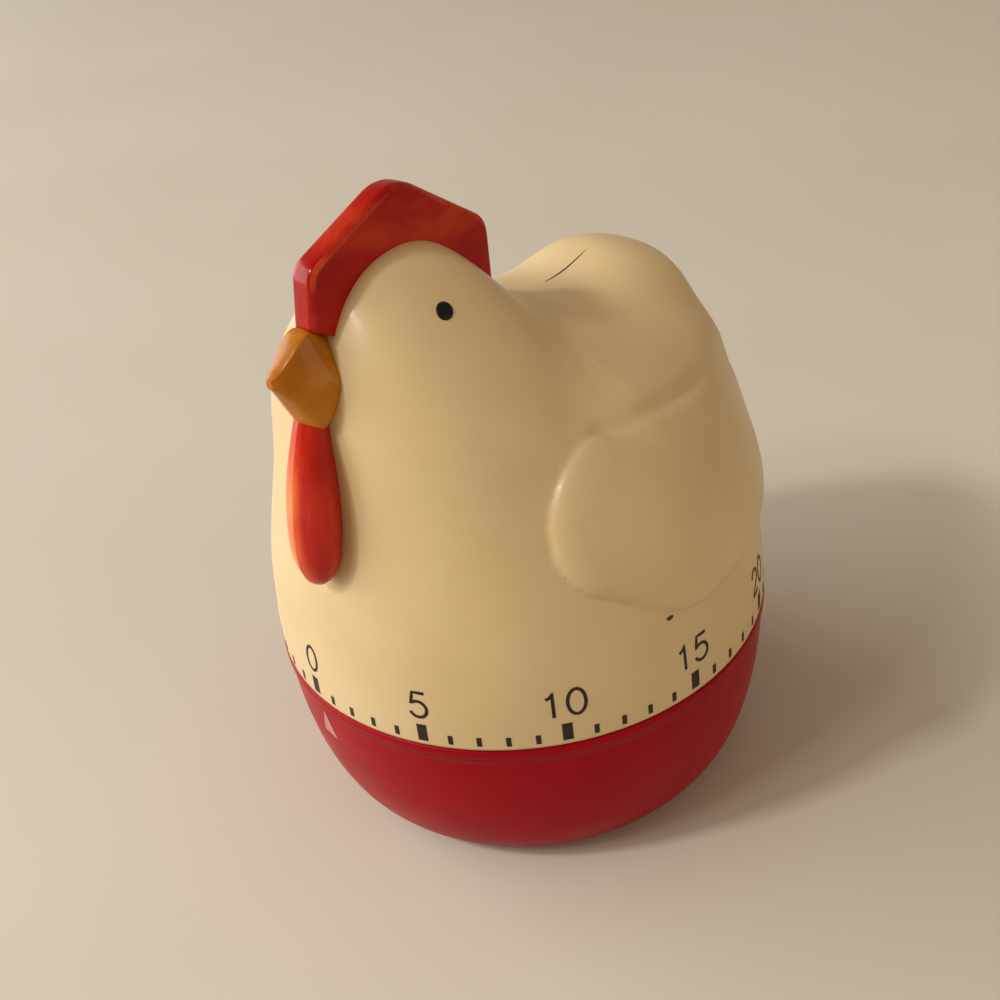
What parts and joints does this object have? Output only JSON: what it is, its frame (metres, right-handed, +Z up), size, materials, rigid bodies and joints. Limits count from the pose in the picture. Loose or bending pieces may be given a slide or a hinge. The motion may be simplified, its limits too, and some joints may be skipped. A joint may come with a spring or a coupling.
{
  "type": "mechanical kitchen timer",
  "caption": "Hen-shaped wind-up kitchen timer: ivory hen on a round crimson base, numbered dial ring round the skirt, clockwork, bell and hammer inside",
  "frame": {"origin": "centre of the flat underside of the base, on the dial axis", "axes": "+Z up along the dial axis, -Y the way the hen faces, +X its left side"},
  "size_m": [0.0662, 0.067, 0.0845],
  "materials": {
    "ivory_plastic": "glossy warm ivory ABS",
    "crimson_plastic": "glossy crimson ABS",
    "comb_paint": "hand-brushed brick red with orange worn edges",
    "beak_paint": "hand-painted mustard orange",
    "eye_black": "glossy black",
    "nylon": "satin natural nylon",
    "steel": "satin steel",
    "bell_steel": "bright plated steel",
    "spring_steel": "blued spring steel",
    "brass": "stamped brass",
    "zinc_screw": "zinc-plated"
  },
  "bodies": {
    "base": {"base_bowl": "crimson_plastic", "base_screws": "zinc_screw", "lower_plate": "steel", "upper_plate": "steel", "plate_pillars": "steel", "plate_screws": "zinc_screw", "bell": "bell_steel", "bell_post": "steel", "bell_screw": "zinc_screw", "mainspring": "spring_steel", "spring_anchor": "steel", "hammer_spring": "spring_steel"},
    "dial": {"hen_shell_left": "ivory_plastic", "hen_shell_right": "ivory_plastic", "comb": "comb_paint", "beak": "beak_paint", "wattle": "comb_paint", "eyes": "eye_black", "drive_disc": "nylon", "arbor_screw": "zinc_screw", "main_arbor": "steel", "great_wheel": "brass", "ratchet_wheel": "steel", "click_pin": "steel", "zero_cam": "nylon"},
    "second": {"second_wheel": "brass", "second_pinion": "steel"},
    "third": {"third_wheel": "brass", "third_pinion": "steel"},
    "escape": {"escape_wheel": "brass", "escape_pinion": "steel"},
    "balance": {"balance_wheel": "brass", "balance_arbor": "steel", "pallet_fork": "steel"},
    "hammer": {"hammer_arm": "steel", "hammer_head": "brass", "trip_lever": "steel", "hammer_arbor": "steel"},
    "click": {"click_pawl": "steel"}
  },
  "joints": [
    {"name": "dial_turn", "type": "hinge", "parent": "base", "child": "dial", "pos_m": [0, 0, 0.024], "axis": [0, 0, -1], "range_deg": [0, 354]},
    {"name": "second_spin", "type": "hinge", "parent": "base", "child": "second", "pos_m": [0.01522, 0.00554, 0.0131], "axis": [0, 0, -1], "continuous": true},
    {"name": "third_spin", "type": "hinge", "parent": "base", "child": "third", "pos_m": [0.01144, 0.01371, 0.0131], "axis": [0, 0, -1], "continuous": true},
    {"name": "escape_spin", "type": "hinge", "parent": "base", "child": "escape", "pos_m": [0.00536, 0.01718, 0.0131], "axis": [0, 0, -1], "continuous": true},
    {"name": "balance_swing", "type": "hinge", "parent": "base", "child": "balance", "pos_m": [-0.00099, 0.01797, 0.0172], "axis": [0, 0, 1], "range_deg": [-8, 8]},
    {"name": "hammer_swing", "type": "hinge", "parent": "base", "child": "hammer", "pos_m": [-0.01973, -0.00718, 0.0044], "axis": [0, 0, -1], "range_deg": [0, 8]},
    {"name": "click_lift", "type": "hinge", "parent": "dial", "child": "click", "pos_m": [-0.00509, 0.00509, 0.0099], "axis": [0, 0, -1], "range_deg": [0, 8]}
  ],
  "couplings": [
    {"joint": "second_spin", "follows": "dial_turn", "ratio": -5},
    {"joint": "third_spin", "follows": "dial_turn", "ratio": 25},
    {"joint": "escape_spin", "follows": "dial_turn", "ratio": -150}
  ]
}
